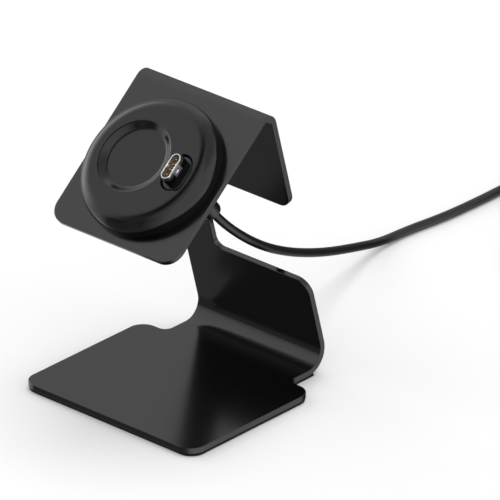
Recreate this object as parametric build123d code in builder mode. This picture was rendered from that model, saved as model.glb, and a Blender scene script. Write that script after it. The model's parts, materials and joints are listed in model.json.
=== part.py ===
from build123d import *

import math
import os
from collections import Counter

os.makedirs("parts", exist_ok=True)

# A charging dock for a watch: one folded metal sheet, a round moulded puck on its sloping face,
# and a charging plug held in the puck, with its cord, coil and mains-side plug.
# Millimetres, +Z up, +Y to the back. The origin is the middle of the stand's footprint on the table.

# Folded sheet
sheet = 2.0
strip_width = 54.0
base_shoulder = 10.5
base_depth = 57.5
base_corner = 5.5
strip_run = 9.5
notch_fillet = 3.0
lean = 15.0
back_length = 101.5
face_slope = 40.0
face_length = 59.2
face_corner = 6.0
low_bend = 6.0
high_bend = 2.4
edge_break = 0.25

# How close an edge lies to the place where it is looked for
edge_margin = 0.01

# Window that is cut in from the right side of the back plate
window_left = -13.4
window_bottom = 32.9
window_top = 63.4
window_fillet = 3.0
riser_corner = 5.5
flap_corner = 5.0

# Foam pad under the base
pad = 1.0
pad_inset = 0.3
pad_overrun = 3.0

# Puck: its place on the face plate, and its moulded profile
puck_above_edge = 27.5
puck_radius = 24.4
puck_height = 7.2
puck_round = 5.0
dish_shift = -4.2
dish_radius = 12.9
dish_floor_radius = 10.7
dish_depth = 1.8
dish_fillet = 1.5
dish_rim_fillet = 1.0
puck_skin = 2.5
cavity_height = 2.4

# Cover plate inside the puck's skirt
cover = 1.2
cover_gap = 0.1

# Screws from behind the sheet
screw_circle = 18.2
screw_angles = (70.0, 180.0, 290.0)
screw_radius = 1.0
screw_clearance = 0.2
screw_bite = 0.15
screw_depth = 2.6
screw_head_radius = 1.9
screw_head = 1.3
screw_head_fillet = 0.4
screw_socket = 1.3
screw_socket_depth = 0.7
boss_radius = 2.5

# Charging plug
plug_offset = 14.1
plug_long = 12.8
plug_wide = 8.0
plug_gap = 0.4
plug_below_puck = 0.4
plug_tail = 10.0
plug_edge = 0.6
collar_wall = 0.5
collar_below_rim = 0.8
collar_fillet = 0.2
collar_notch_long = 3.8
collar_notch_deep = 2.4
flange_reach = 1.3
shell_long = 9.3
shell_wide = 3.6
shell_wall = 0.35
shell_out = 4.2
shell_seat = 2.8
shell_rim_chamfer = 0.08
latch_long = 2.0
latch_high = 0.9
latch_below_rim = 1.9
insulator_recess = 0.9
board_long = 8.4
board_thick = 1.0
board_deep = 8.0

# Sprung contacts in the plug
contact_count = 4
contact_pitch = 1.9
contact_radius = 0.55
contact_tip_radius = 0.4
contact_clearance = 0.05
contact_mouth = 0.6
contact_barrel = 2.3
contact_tip_out = 0.55
contact_travel = 0.5
contact_stop_gap = 0.02

# Sleeve where the cord leaves the plug
relief_length = 7.0
relief_radius = 3.5
relief_end_radius = 3.2
relief_fillet = 0.7

# Cord, its coil and the tie round it
cord_diameter = 3.0
cord_straight = 7.0
coil_middle_radius = 16.25
coil_turns_each_layer = 3.75
coil_layers = 2
coil_centre_y = 194.0
coil_west_x = -16.8
coil_edge_fillet = 1.4
tie_width = 5.0
tie_thickness = 0.6

# Plug at the cord's far end
usb_long = 26.0
usb_wide = 15.0
usb_thick = 8.0
usb_corner = 2.2
usb_end_fillet = 1.2
usb_neck_long = 6.0
usb_neck_radius = 2.6
usb_neck_end_radius = 2.1
usb_tail = 14.0
usb_shell_long = 12.0
usb_shell_wide = 12.0
usb_shell_thick = 4.5
usb_shell_wall = 0.3
usb_window = 2.2
usb_window_from_rim = 4.2
usb_window_spacing = 5.0
usb_tongue_long = 11.0
usb_tongue_thick = 1.8
usb_contact_count = 4
usb_contact_pitch = 2.4
usb_contact_wide = 1.0
usb_contact_long = 8.0
usb_contact_thick = 0.2


def finish(piece, name):
    """Labels a finished piece and writes it to its own file."""
    piece.part.label = name
    export_step(piece.part, f"parts/{name}.step")


def obround(length, width, mode=Mode.ADD):
    """A slot outline whose long side runs along the sketch's second axis."""
    SlotOverall(length, width, rotation=90, mode=mode)


# The folded sheet's section runs along the inside of both bends: base, back plate, face plate
stand_depth = base_depth + strip_run + low_bend + sheet
base_width = strip_width + 2 * base_shoulder
front = -stand_depth / 2
base_back = front + base_depth
base_middle = front + base_depth / 2
base_top = pad + sheet
sheet_cut = 3 * sheet
lean_sin = math.sin(math.radians(lean))
lean_cos = math.cos(math.radians(lean))
slope_sin = math.sin(math.radians(face_slope))
slope_cos = math.cos(math.radians(face_slope))
low_y = base_back + strip_run + low_bend * (1 + lean_sin) / lean_cos
high_y = low_y - back_length * lean_sin
high_z = base_top + back_length * lean_cos
face_end_y = high_y - face_length * slope_cos
face_end_z = high_z - face_length * slope_sin

# The back plate's front surface, and the face plate's front surface at the puck's middle
back_plane = Plane(
    origin=(0, low_y, base_top),
    x_dir=(1, 0, 0),
    z_dir=(0, -lean_cos, -lean_sin),
)
face_plane = Plane(
    origin=(
        0,
        face_end_y - sheet * slope_sin + puck_above_edge * slope_cos,
        face_end_z + sheet * slope_cos + puck_above_edge * slope_sin,
    ),
    x_dir=(1, 0, 0),
    z_dir=(0, -slope_sin, slope_cos),
)
puck_section = Plane(face_plane.origin, x_dir=(1, 0, 0), z_dir=-face_plane.y_dir)
puck_axis = Axis(face_plane.origin, face_plane.z_dir)
dish_section = Plane(
    face_plane.from_local_coords((dish_shift, 0, 0)),
    x_dir=(1, 0, 0),
    z_dir=-face_plane.y_dir,
)
dish_axis = Axis(dish_section.origin, face_plane.z_dir)
plug_plane = Plane(
    face_plane.from_local_coords((plug_offset, 0, 0)),
    x_dir=(1, 0, 0),
    z_dir=face_plane.z_dir,
)
plug_section = Plane(plug_plane.origin, x_dir=(1, 0, 0), z_dir=-face_plane.y_dir)
plug_axis = Axis(plug_plane.origin, plug_plane.z_dir)
screw_places = [
    (
        screw_circle * math.cos(math.radians(angle)),
        screw_circle * math.sin(math.radians(angle)),
    )
    for angle in screw_angles
]

# Folded sheet, cut and bent from one blank
with BuildPart() as stand_sheet:
    with BuildSketch(Plane.YZ):
        with BuildLine():
            FilletPolyline(
                (base_middle, base_top),
                (low_y, base_top),
                (high_y, high_z),
                (face_end_y, face_end_z),
                radius=[low_bend, high_bend],
            )
            offset(amount=sheet, side=Side.RIGHT)
        make_face()
    extrude(amount=strip_width / 2, both=True)
    with BuildSketch(Plane.XY.offset(pad)):
        with Locations((0, base_middle)):
            RectangleRounded(base_width, base_depth, base_corner)
    extrude(amount=sheet)
    notch_edges = (
        stand_sheet.edges()
        .filter_by(Axis.Z)
        .filter_by_position(Axis.Y, base_back - edge_margin, base_back + edge_margin)
        .sort_by(Axis.X)
    )
    fillet([notch_edges[1], notch_edges[-2]], radius=notch_fillet)
    with BuildSketch(back_plane.offset(sheet)):
        with BuildLine():
            FilletPolyline(
                (strip_width, window_bottom),
                (window_left, window_bottom),
                (window_left, window_top),
                (strip_width, window_top),
                radius=window_fillet,
            )
            Line((strip_width, window_top), (strip_width, window_bottom))
        make_face()
    extrude(amount=-sheet_cut, mode=Mode.SUBTRACT)
    window_corners = (
        stand_sheet.edges()
        .filter_by(Axis(back_plane.origin, back_plane.z_dir))
        .filter_by_position(
            Axis.X,
            strip_width / 2 - edge_margin,
            strip_width / 2 + edge_margin,
        )
        .sort_by(Axis.Z)
    )
    fillet(window_corners[0], radius=riser_corner)
    fillet(window_corners[-1], radius=flap_corner)
    face_corners = (
        stand_sheet.edges()
        .filter_by(Axis(face_plane.origin, face_plane.z_dir))
        .sort_by(Axis.Z)[:2]
    )
    fillet(face_corners, radius=face_corner)
    with BuildSketch(plug_plane.offset(sheet)):
        obround(plug_long + 2 * plug_gap, plug_wide + 2 * plug_gap)
    extrude(amount=-sheet_cut, mode=Mode.SUBTRACT)
    sheet_surfaces = ShapeList()
    for normal in (Axis.Z.direction, back_plane.z_dir, face_plane.z_dir):
        sheet_surfaces += stand_sheet.faces().filter_by(Axis((0, 0, 0), normal))
    round_faces = stand_sheet.faces().filter_by(GeomType.CYLINDER)
    sheet_surfaces += [face for face in round_faces if face.axis_of_rotation.is_parallel(Axis.X)]
    surface_edges = Counter(edge for face in sheet_surfaces for edge in face.edges())
    outline_edges = [edge for edge, sides in surface_edges.items() if sides == 1]
    fillet(outline_edges, radius=edge_break)
    with BuildSketch(face_plane.offset(sheet)):
        with Locations(*screw_places):
            Circle(screw_radius + screw_clearance)
    extrude(amount=-sheet_cut, mode=Mode.SUBTRACT)
finish(stand_sheet, "stand_sheet")

# Foam pad, as wide as the base and the strip behind it, and on under the start of the bend
pad_back = base_back - pad_inset
pad_end = base_back + strip_run + pad_overrun
with BuildPart() as base_pad:
    with BuildSketch(Plane.XY):
        with Locations((0, base_middle)):
            RectangleRounded(
                base_width - 2 * pad_inset,
                base_depth - 2 * pad_inset,
                base_corner - pad_inset,
            )
        with Locations((0, (base_middle + pad_end) / 2)):
            Rectangle(strip_width - 2 * pad_inset, pad_end - base_middle)
    extrude(amount=pad)
    pad_notches = (
        base_pad.edges()
        .filter_by(Axis.Z)
        .filter_by_position(Axis.Y, pad_back - edge_margin, pad_back + edge_margin)
        .sort_by(Axis.X)
    )
    fillet([pad_notches[1], pad_notches[-2]], radius=notch_fillet)
finish(base_pad, "base_pad")

# Puck housing: a disc with a wide rounded edge, an off-centre dish, and a slot for the plug
with BuildPart() as puck_housing:
    with BuildSketch(puck_section):
        with BuildLine():
            FilletPolyline(
                (0, 0),
                (puck_radius, 0),
                (puck_radius, puck_height),
                (0, puck_height),
                close=True,
                radius=[0, 0, puck_round, 0],
            )
        make_face()
    revolve(axis=puck_axis)
    with BuildSketch(dish_section):
        with BuildLine():
            FilletPolyline(
                (0, puck_height + dish_depth),
                (0, puck_height - dish_depth),
                (dish_floor_radius, puck_height - dish_depth),
                (dish_radius, puck_height),
                (dish_radius + dish_depth, puck_height + dish_depth),
                close=True,
                radius=[0, 0, dish_fillet, 0, 0],
            )
        make_face()
    revolve(axis=dish_axis, mode=Mode.SUBTRACT)
    dish_rim = (
        puck_housing.edges()
        .filter_by(GeomType.CIRCLE)
        .filter_by(lambda edge: abs(edge.radius - dish_radius) < edge_margin)
    )
    fillet(dish_rim, radius=dish_rim_fillet)
    with BuildSketch(face_plane):
        Circle(puck_radius - puck_skin)
    extrude(amount=cavity_height, mode=Mode.SUBTRACT)
    with BuildSketch(face_plane.offset(cover)):
        with Locations(*screw_places):
            Circle(boss_radius)
    extrude(amount=cavity_height - cover)
    with BuildSketch(face_plane):
        with Locations(*screw_places):
            Circle(screw_radius - screw_bite)
    extrude(amount=cavity_height + screw_depth, mode=Mode.SUBTRACT)
    with BuildSketch(plug_plane):
        obround(plug_long + 2 * plug_gap, plug_wide + 2 * plug_gap)
    extrude(amount=puck_height + sheet, mode=Mode.SUBTRACT)
finish(puck_housing, "puck_housing")

# Cover plate that closes the puck against the sheet and clamps the plug's flange
with BuildPart() as puck_cover:
    with BuildSketch(face_plane):
        Circle(puck_radius - puck_skin - cover_gap)
        with Locations((plug_offset, 0)):
            obround(plug_long + 2 * plug_gap, plug_wide + 2 * plug_gap, mode=Mode.SUBTRACT)
        with Locations(*screw_places):
            Circle(screw_radius + screw_clearance, mode=Mode.SUBTRACT)
    extrude(amount=cover)
finish(puck_cover, "puck_cover")

# Screws that pull the puck down on the sheet
for number, place in enumerate(screw_places, start=1):
    screw_seat = Plane(
        face_plane.from_local_coords((place[0], place[1], -sheet)),
        x_dir=(1, 0, 0),
        z_dir=face_plane.z_dir,
    )
    with BuildPart() as screw:
        with BuildSketch(screw_seat):
            Circle(screw_radius)
        extrude(amount=sheet + cavity_height + screw_depth - screw_bite)
        with BuildSketch(screw_seat):
            Circle(screw_head_radius)
        extrude(amount=-screw_head)
        head_rim = screw.edges().filter_by(GeomType.CIRCLE).sort_by(
            Axis(screw_seat.origin, screw_seat.z_dir)
        )[0]
        fillet(head_rim, radius=screw_head_fillet)
        with BuildSketch(screw_seat.offset(-screw_head)):
            RegularPolygon(screw_socket / 2, 6, major_radius=False)
        extrude(amount=screw_socket_depth, mode=Mode.SUBTRACT)
    finish(screw, f"puck_screw_{number}")

# Moulded plug body, with the flange that the cover clamps, and a notched collar round the shell
plug_top = puck_height - plug_below_puck
plug_bottom = -sheet - plug_tail
shell_bottom = plug_top - shell_seat
shell_top = puck_height + shell_out
collar_top = shell_top - collar_below_rim
with BuildPart() as plug_body:
    with BuildSketch(plug_plane.offset(plug_bottom)):
        obround(plug_long, plug_wide)
    extrude(amount=plug_top - plug_bottom)
    end_rims = plug_body.edges().group_by(plug_axis)
    fillet(end_rims[0] + end_rims[-1], radius=plug_edge)
    with BuildSketch(plug_plane.offset(plug_top)):
        obround(shell_long + 2 * collar_wall, shell_wide + 2 * collar_wall)
    extrude(amount=collar_top - plug_top)
    fillet(plug_body.edges().group_by(plug_axis)[-1], radius=collar_fillet)
    with BuildSketch(plug_plane.offset(collar_top)):
        Rectangle(plug_wide, collar_notch_long)
    extrude(amount=-collar_notch_deep, mode=Mode.SUBTRACT)
    with BuildSketch(plug_plane.offset(cover)):
        obround(plug_long + 2 * flange_reach, plug_wide + 2 * flange_reach)
    extrude(amount=cavity_height - cover)
    with BuildSketch(plug_plane.offset(shell_bottom)):
        obround(shell_long, shell_wide)
    extrude(amount=shell_top - shell_bottom, mode=Mode.SUBTRACT)
    with BuildSketch(plug_plane.offset(shell_bottom)):
        Rectangle(board_thick, board_long)
    extrude(amount=-board_deep, mode=Mode.SUBTRACT)
finish(plug_body, "plug_body")

# Drawn metal shell of the plug, with a latch window in each long side
inner_long = shell_long - 2 * shell_wall
inner_wide = shell_wide - 2 * shell_wall
with BuildPart() as plug_shell:
    with BuildSketch(plug_plane.offset(shell_bottom)):
        obround(shell_long, shell_wide)
        obround(inner_long, inner_wide, mode=Mode.SUBTRACT)
    extrude(amount=shell_top - shell_bottom)
    rim_edges = plug_shell.edges().group_by(plug_axis)[-1]
    chamfer(rim_edges, length=shell_rim_chamfer)
    latch_plane = Plane(
        plug_plane.from_local_coords((0, 0, shell_top - latch_below_rim)),
        x_dir=face_plane.y_dir,
        z_dir=(1, 0, 0),
    )
    with BuildSketch(latch_plane):
        SlotOverall(latch_long, latch_high)
    extrude(amount=shell_wide, both=True, mode=Mode.SUBTRACT)
finish(plug_shell, "plug_shell")

# Insulating core of the plug, bored for the contacts
insulator_top = shell_top - insulator_recess
contact_shoulder = insulator_top - contact_mouth
contact_floor = contact_shoulder - contact_barrel - 2 * contact_travel
contact_places = [
    (0, (index - (contact_count - 1) / 2) * contact_pitch)
    for index in range(contact_count)
]
with BuildPart() as plug_insulator:
    with BuildSketch(plug_plane.offset(shell_bottom)):
        obround(inner_long, inner_wide)
    extrude(amount=insulator_top - shell_bottom)
    with BuildSketch(plug_plane.offset(contact_floor)):
        with Locations(*contact_places):
            Circle(contact_radius + contact_clearance)
    extrude(amount=contact_shoulder - contact_floor, mode=Mode.SUBTRACT)
    with BuildSketch(plug_plane.offset(contact_shoulder)):
        with Locations(*contact_places):
            Circle(contact_tip_radius + contact_clearance)
    extrude(amount=2 * contact_mouth, mode=Mode.SUBTRACT)
finish(plug_insulator, "plug_insulator")

# Circuit board moulded into the plug behind the core
with BuildPart() as plug_board:
    with BuildSketch(plug_plane.offset(shell_bottom)):
        Rectangle(board_thick, board_long)
    extrude(amount=-board_deep)
finish(plug_board, "plug_board")

# Sprung contacts: a barrel held under the core's shoulder, and a domed tip through its mouth
barrel_top = contact_shoulder - contact_stop_gap
tip_top = insulator_top + contact_tip_out
for number, place in enumerate(contact_places, start=1):
    contact_section = Plane(
        plug_plane.from_local_coords((place[0], place[1], 0)),
        x_dir=(1, 0, 0),
        z_dir=-face_plane.y_dir,
    )
    with BuildPart() as contact:
        with BuildSketch(contact_section):
            with BuildLine():
                Polyline(
                    (0, tip_top),
                    (0, barrel_top - contact_barrel),
                    (contact_radius, barrel_top - contact_barrel),
                    (contact_radius, barrel_top),
                    (contact_tip_radius, barrel_top),
                    (contact_tip_radius, tip_top - contact_tip_radius),
                )
                CenterArc((0, tip_top - contact_tip_radius), contact_tip_radius, 0, 90)
            make_face()
        revolve(axis=Axis(contact_section.origin, plug_plane.z_dir))
    finish(contact, f"contact_pin_{number}")

# Tapered sleeve behind the plug body
relief_top = plug_bottom
relief_bottom = plug_bottom - relief_length
with BuildPart() as strain_relief:
    with BuildSketch(plug_section):
        with BuildLine():
            Polyline(
                (0, relief_top),
                (relief_radius, relief_top),
                (relief_end_radius, relief_bottom),
                (0, relief_bottom),
                close=True,
            )
        make_face()
    revolve(axis=plug_axis)
    relief_rim = strain_relief.edges().filter_by(GeomType.CIRCLE).sort_by(plug_axis)[0]
    fillet(relief_rim, radius=relief_fillet)
finish(strain_relief, "strain_relief")

# Cord from the sleeve, down through the window to the table and on to the coil
coil_outer_radius = coil_middle_radius + coil_turns_each_layer * cord_diameter / 2
coil_inner_radius = coil_middle_radius - coil_turns_each_layer * cord_diameter / 2
coil_centre = (coil_west_x + coil_outer_radius, coil_centre_y)
coil_height = coil_layers * cord_diameter
on_table = cord_diameter / 2
cord_exit = plug_plane.from_local_coords((0, 0, relief_bottom))
cord_route = [
    tuple(cord_exit),
    tuple(plug_plane.from_local_coords((0, 0, relief_bottom - cord_straight))),
    (14.4, 12.2, 53.4),
    (12.4, 24.6, 44.7),
    (8.0, 40.0, 35.9),
    (1.6, 57.8, 26.8),
    (-5.9, 77.0, 17.8),
    (-13.4, 97.6, 9.3),
    (-19.6, 117.2, 2.0),
    (-19.6, 131.0, on_table),
    (-17.4, 145.5, on_table),
    (-16.7, 161.0, on_table),
    (coil_west_x, 177.0, on_table),
    (coil_west_x, coil_centre_y, on_table),
]


def bend_radii(route):
    """The largest arc that each corner's two runs leave room for."""
    points = [Vector(*point) for point in route]
    radii = []
    for before, corner, after in zip(points, points[1:], points[2:]):
        first = corner - before
        second = after - corner
        turn = math.radians(first.get_angle(second))
        radii.append(0.45 * min(first.length, second.length) / math.tan(turn / 2))
    return radii


def cord_tube(route):
    """Sweeps the cord's section along straight runs joined by tangent arcs."""
    radii = bend_radii(route)
    start = Vector(*route[0])
    with BuildPart() as tube:
        with BuildLine() as path:
            FilletPolyline(*route, radius=radii)
        with BuildSketch(Plane(start, z_dir=Vector(*route[1]) - start)):
            Circle(cord_diameter / 2)
        sweep(path=path.wire())
    length = path.wire().length
    expected = math.pi * cord_diameter**2 / 4 * length
    print("bend radii", [round(radius, 1) for radius in radii])
    print("length", round(length, 1), "volume share", round(tube.part.volume / expected, 4))
    return tube, length


cord, cord_length = cord_tube(cord_route)
finish(cord, "cord")

# Outer shape of the coil that the rest of the cord is wound into
with BuildPart() as cord_coil:
    with BuildSketch(Plane((*coil_centre, 0), x_dir=(1, 0, 0), z_dir=(0, -1, 0))):
        with Locations((coil_middle_radius, coil_height / 2)):
            RectangleRounded(
                coil_outer_radius - coil_inner_radius + cord_diameter,
                coil_height,
                coil_edge_fillet,
            )
    revolve(axis=Axis((*coil_centre, 0), (0, 0, 1)))
finish(cord_coil, "cord_coil")

# Strap round one side of the coil, with the turns pressed up by its thickness
strap_wide = coil_outer_radius - coil_inner_radius + cord_diameter + 2 * tie_thickness
strap_high = coil_height + 2 * tie_thickness
with BuildPart() as coil_tie:
    with BuildSketch(Plane.YZ.offset(coil_centre[0])):
        with Locations((coil_centre[1] + coil_middle_radius, strap_high / 2)):
            RectangleRounded(strap_wide, strap_high, cord_diameter / 2)
            RectangleRounded(
                strap_wide - 2 * tie_thickness,
                strap_high - 2 * tie_thickness,
                cord_diameter / 2 - tie_thickness,
                mode=Mode.SUBTRACT,
            )
    extrude(amount=tie_width / 2, both=True)
finish(coil_tie, "coil_tie")

# Short end of the cord, from the coil's top layer to the plug beside it
usb_middle = usb_thick / 2
tail_x = coil_centre[0] + coil_outer_radius
tail_top = coil_height - cord_diameter / 2
tail_end = coil_centre_y - usb_tail
tail_route = [
    (tail_x, coil_centre_y, tail_top),
    (tail_x, coil_centre_y - usb_tail / 2, usb_middle),
    (tail_x, tail_end, usb_middle),
]
cord_tail, tail_length = cord_tube(tail_route)
finish(cord_tail, "cord_tail")
coil_length = coil_layers * coil_turns_each_layer * 2 * math.pi * coil_middle_radius
print("cord in all", round(cord_length + coil_length + tail_length, 1))

# Moulded grip of the far plug, lying flat with its contacts towards the front
usb_plane = Plane(
    (tail_x, tail_end - usb_neck_long, usb_middle),
    x_dir=(1, 0, 0),
    z_dir=(0, -1, 0),
)
with BuildPart() as usb_body:
    with BuildSketch(usb_plane):
        RectangleRounded(usb_wide, usb_thick, usb_corner)
    extrude(amount=usb_long)
    usb_rims = usb_body.edges().group_by(Axis.Y)
    fillet(usb_rims[0] + usb_rims[-1], radius=usb_end_fillet)
    with BuildSketch(usb_plane):
        Circle(usb_neck_radius)
    with BuildSketch(usb_plane.offset(-usb_neck_long)):
        Circle(usb_neck_end_radius)
    loft()
finish(usb_body, "usb_body")

# Metal shell of the far plug, with two square windows in each broad side
usb_front = usb_plane.offset(usb_long)
with BuildPart() as usb_shell:
    with BuildSketch(usb_front):
        Rectangle(usb_shell_wide, usb_shell_thick)
        Rectangle(
            usb_shell_wide - 2 * usb_shell_wall,
            usb_shell_thick - 2 * usb_shell_wall,
            mode=Mode.SUBTRACT,
        )
    extrude(amount=usb_shell_long)
    window_y = usb_front.origin.Y - usb_shell_long + usb_window_from_rim
    with BuildSketch(Plane.XY.offset(usb_middle)):
        with Locations((tail_x, window_y)):
            with GridLocations(usb_window_spacing, 1, 2, 1):
                Rectangle(usb_window, usb_window)
    extrude(amount=usb_shell_thick, both=True, mode=Mode.SUBTRACT)
finish(usb_shell, "usb_shell")

# Tongue inside the shell, and its contact strips
tongue_top = usb_shell_thick / 2 - usb_shell_wall
with BuildPart() as usb_tongue:
    with BuildSketch(usb_front):
        with Locations((0, tongue_top - usb_tongue_thick / 2)):
            Rectangle(usb_shell_wide - 2 * usb_shell_wall, usb_tongue_thick)
    extrude(amount=usb_tongue_long)
finish(usb_tongue, "usb_tongue")

with BuildPart() as usb_contacts:
    with BuildSketch(usb_front):
        with Locations((0, tongue_top - usb_tongue_thick - usb_contact_thick / 2)):
            with GridLocations(usb_contact_pitch, 1, usb_contact_count, 1):
                Rectangle(usb_contact_wide, usb_contact_thick)
    extrude(amount=usb_contact_long)
finish(usb_contacts, "usb_contacts")
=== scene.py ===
import json
import logging
import math
from collections.abc import Callable, Iterable
from dataclasses import dataclass, field
from enum import Enum

import bmesh
import bpy
from mathutils import Matrix, Vector


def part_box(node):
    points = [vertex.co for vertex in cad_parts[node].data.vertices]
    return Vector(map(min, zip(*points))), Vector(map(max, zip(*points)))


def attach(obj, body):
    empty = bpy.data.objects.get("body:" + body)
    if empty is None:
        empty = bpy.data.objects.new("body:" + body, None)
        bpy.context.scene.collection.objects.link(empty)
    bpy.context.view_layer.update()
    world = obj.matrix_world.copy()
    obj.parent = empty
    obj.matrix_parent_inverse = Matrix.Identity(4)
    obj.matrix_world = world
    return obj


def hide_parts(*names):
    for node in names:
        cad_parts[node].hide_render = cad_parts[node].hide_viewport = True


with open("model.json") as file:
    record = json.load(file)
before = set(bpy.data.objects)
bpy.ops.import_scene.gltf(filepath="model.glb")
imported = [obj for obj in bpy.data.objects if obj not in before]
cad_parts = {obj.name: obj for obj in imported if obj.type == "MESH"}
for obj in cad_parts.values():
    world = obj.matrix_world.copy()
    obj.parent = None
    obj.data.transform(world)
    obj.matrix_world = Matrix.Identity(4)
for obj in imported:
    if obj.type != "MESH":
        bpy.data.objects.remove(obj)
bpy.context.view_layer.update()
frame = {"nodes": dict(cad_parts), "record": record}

log = logging.getLogger("watch_dock")

# All lengths are in metres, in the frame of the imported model: +Z up, +Y to the back.
MM = 0.001
DOCK = "dock"

Colour = tuple[float, float, float]
Piece = bpy.types.Object
Socket = bpy.types.NodeSocket
Node = bpy.types.Node
Tree = bpy.types.NodeTree


class Texture(Enum):
    """The small-scale surface that a finish has."""

    SATIN = "satin"
    MOULDED = "moulded"
    FOAM = "foam"
    WOVEN = "woven"
    DRAWN = "drawn"
    BOARD = "board"


@dataclass(frozen=True)
class Finish:
    """What one material of the dock looks like.

    Lengths are in metres. The grain is the size of one speck of the surface. The slot is the
    record's, where its name isn't the finish's own.
    """

    name: str
    colour: Colour
    texture: Texture
    roughness: float
    metallic: float = 0.0
    ior: float = 1.5
    mottle: float = 0.06
    spread: float = 0.05
    grain: float = 0.3 * MM
    depth: float = 0.01 * MM
    # How much sharp edges are lightened: partly wear, partly a painted sheen.
    edge_wear_and_sheen: float = 0.0
    dust: float = 0.0
    slot: str = ""


BLACK_METAL = Finish(
    "black_metal", (0.062, 0.062, 0.063), Texture.SATIN, 0.18,
    metallic=1.0, mottle=0.04, spread=0.03,
    grain=0.22 * MM, depth=0.0008 * MM, edge_wear_and_sheen=0.2, dust=0.005,
)
FOAM_PAD = Finish(
    "foam_pad", (0.006, 0.006, 0.006), Texture.FOAM, 0.9,
    ior=1.35, grain=0.5 * MM, depth=0.08 * MM,
)
PUCK_PLASTIC = Finish(
    "puck_plastic", (0.0035, 0.0035, 0.0036), Texture.MOULDED, 0.15,
    ior=1.46, grain=0.16 * MM, depth=0.0015 * MM, edge_wear_and_sheen=0.12, dust=0.01,
)
SCREW_STEEL = Finish(
    "screw_steel", (0.11, 0.11, 0.115), Texture.DRAWN, 0.32,
    metallic=1.0, grain=0.08 * MM, depth=0.006 * MM, edge_wear_and_sheen=0.5,
)
PLUG_MOULDING = Finish(
    "plug_moulding", (0.003, 0.003, 0.003), Texture.MOULDED, 0.16,
    ior=1.5, grain=0.3 * MM, depth=0.001 * MM, edge_wear_and_sheen=0.1,
)
PLATED_SHELL = Finish(
    "plated_shell", (0.78, 0.76, 0.73), Texture.DRAWN, 0.1,
    metallic=1.0, mottle=0.04, spread=0.04, grain=0.05 * MM, depth=0.0006 * MM, edge_wear_and_sheen=0.3,
)
LATCH_PLATE = Finish(
    "latch_plate", (0.15, 0.14, 0.17), Texture.DRAWN, 0.5,
    grain=0.08 * MM, depth=0.004 * MM, slot="plated_shell",
)
PLUG_CORE = Finish(
    "plug_core", (0.075, 0.052, 0.03), Texture.MOULDED, 0.4,
    grain=0.1 * MM, depth=0.004 * MM,
)
CIRCUIT_BOARD = Finish(
    "circuit_board", (0.012, 0.07, 0.03), Texture.BOARD, 0.35,
    grain=0.6 * MM, depth=0.02 * MM,
)
GOLD_CONTACT = Finish(
    "gold_contact", (0.42, 0.28, 0.14), Texture.SATIN, 0.42,
    metallic=1.0, grain=0.1 * MM, depth=0.002 * MM, edge_wear_and_sheen=0.3,
)
CORD_JACKET = Finish(
    "cord_jacket", (0.004, 0.004, 0.004), Texture.MOULDED, 0.3,
    ior=1.5, grain=0.25 * MM, depth=0.004 * MM, dust=0.01,
)
TIE_STRAP = Finish(
    "tie_strap", (0.009, 0.009, 0.01), Texture.WOVEN, 0.85,
    grain=0.35 * MM, depth=0.09 * MM,
)


class NodeSheet:
    """One shader node tree, with short ways to add nodes and join them."""

    def __init__(self, tree: Tree) -> None:
        """Keeps the tree."""
        self.tree = tree

    def add(self, kind: str, inputs: dict | None = None, **settings: object) -> Node:
        """Adds a node.

        Args:
            kind: the node's type name, without its ShaderNode prefix.
            inputs: a value, or a socket to link from, for each input by its name or number.
            settings: the node's own properties.

        Returns:
            The new node.
        """
        prefix = "" if kind.startswith("NodeGroup") else "ShaderNode"
        node = self.tree.nodes.new(prefix + kind)
        for name, value in settings.items():
            setattr(node, name, value)
        self.fill(node, inputs or {})
        return node

    def fill(self, node: Node, inputs: dict) -> None:
        """Links the inputs that are given as sockets, and sets the others' values."""
        for name, value in inputs.items():
            if isinstance(value, Socket):
                self.tree.links.new(value, node.inputs[name])
            else:
                node.inputs[name].default_value = value

    def math(self, operation: str, first: object, second: object = 0.0) -> Socket:
        """Joins one or two numbers by a math operation and returns the result's socket."""
        return self.add("Math", {0: first, 1: second}, operation=operation).outputs[0]

    def remap(
        self,
        value: Socket,
        source: tuple[float, float],
        target: tuple[float, float],
        smooth: bool = False,
    ) -> Socket:
        """Maps a number from one range to another.

        Args:
            value: the number's socket.
            source: its lowest and highest value.
            target: what those become.
            smooth: whether it eases in and out.

        Returns:
            The mapped number's socket.
        """
        node = self.add(
            "MapRange",
            {0: value, 1: source[0], 2: source[1], 3: target[0], 4: target[1]},
            interpolation_type="SMOOTHSTEP" if smooth else "LINEAR",
        )
        return node.outputs[0]

    def noise(self, at: Socket, scale: object, detail: float) -> Socket:
        """Adds a noise pattern with the given number of specks in a metre."""
        return self.add("TexNoise", {"Vector": at, "Scale": scale, "Detail": detail}).outputs[0]


def new_group(
    name: str,
    inputs: dict[str, str],
    outputs: dict[str, str],
) -> tuple[NodeSheet, Node, Node]:
    """Starts a shader node group.

    Args:
        name: the group's name.
        inputs: the type of each input socket, such as "Float".
        outputs: the type of each output socket.

    Returns:
        The group's sheet, and the nodes that hold its inputs and its outputs.
    """
    tree = bpy.data.node_groups.new(name, "ShaderNodeTree")
    for label, kind in inputs.items():
        tree.interface.new_socket(label, in_out="INPUT", socket_type="NodeSocket" + kind)
    for label, kind in outputs.items():
        tree.interface.new_socket(label, in_out="OUTPUT", socket_type="NodeSocket" + kind)
    sheet = NodeSheet(tree)
    return sheet, sheet.add("NodeGroupInput"), sheet.add("NodeGroupOutput")


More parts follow.
